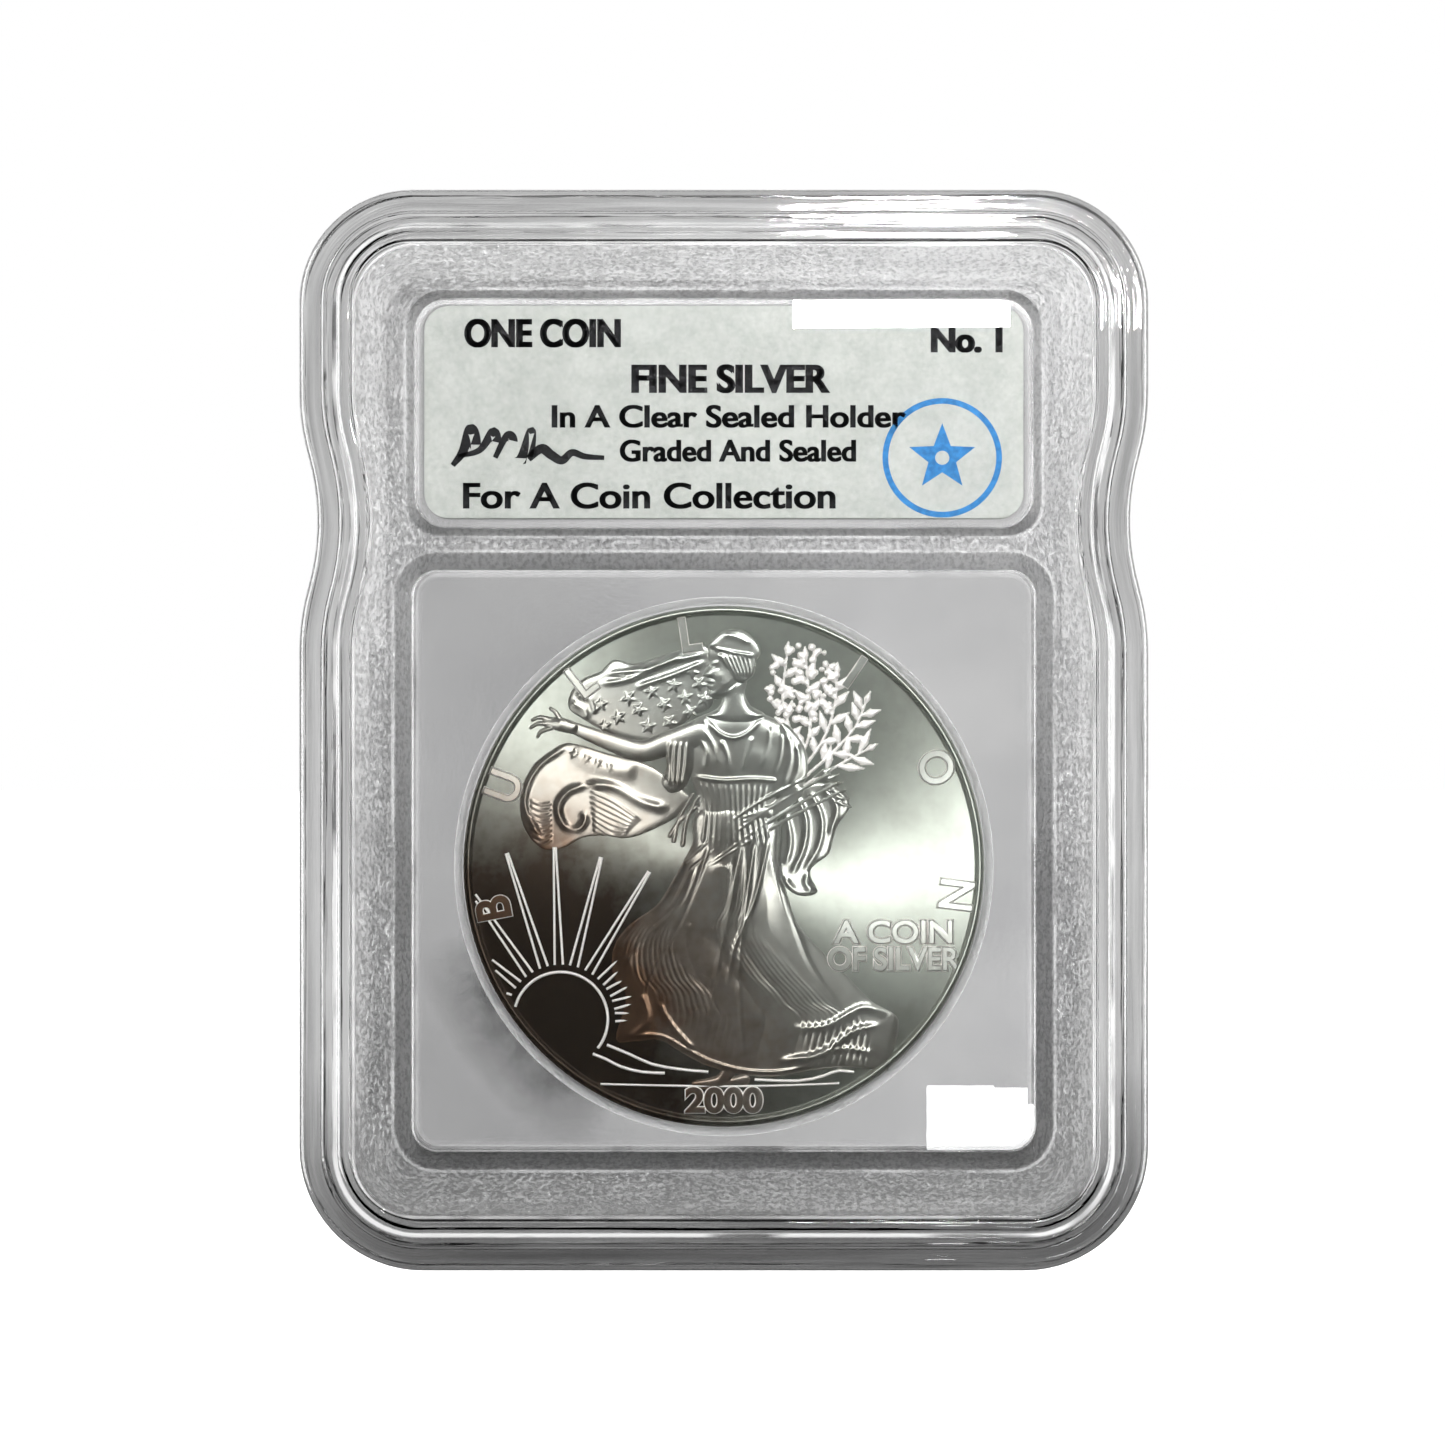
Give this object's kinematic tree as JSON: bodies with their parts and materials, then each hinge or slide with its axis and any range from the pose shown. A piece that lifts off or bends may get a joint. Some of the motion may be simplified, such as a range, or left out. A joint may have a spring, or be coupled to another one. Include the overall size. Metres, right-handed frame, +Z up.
{
  "type": "graded coin slab",
  "caption": "Sealed clear plastic display holder with stepped waisted edge, holding one silver coin and a printed paper label.",
  "frame": {"origin": "middle of the bottom edge the slab stands on, on the plane where the two shells meet", "axes": "+X across the slab's width, -Y out of its front face, +Z up from the coin towards the label"},
  "size_m": [0.066, 0.0084, 0.084],
  "materials": {
    "front_shell": "clear, gloss",
    "back_shell": "clear, gloss",
    "core_plate": "clear, faint grey",
    "coin": "struck silver, satin",
    "front_label": "matt coated paper",
    "back_label": "matt coated paper",
    "security_foil": "bright foil"
  },
  "bodies": {
    "root": {"front_shell": "front_shell", "back_shell": "back_shell", "core_plate": "core_plate", "coin": "coin", "front_label": "front_label", "back_label": "back_label", "security_foil": "security_foil"}
  },
  "joints": []
}
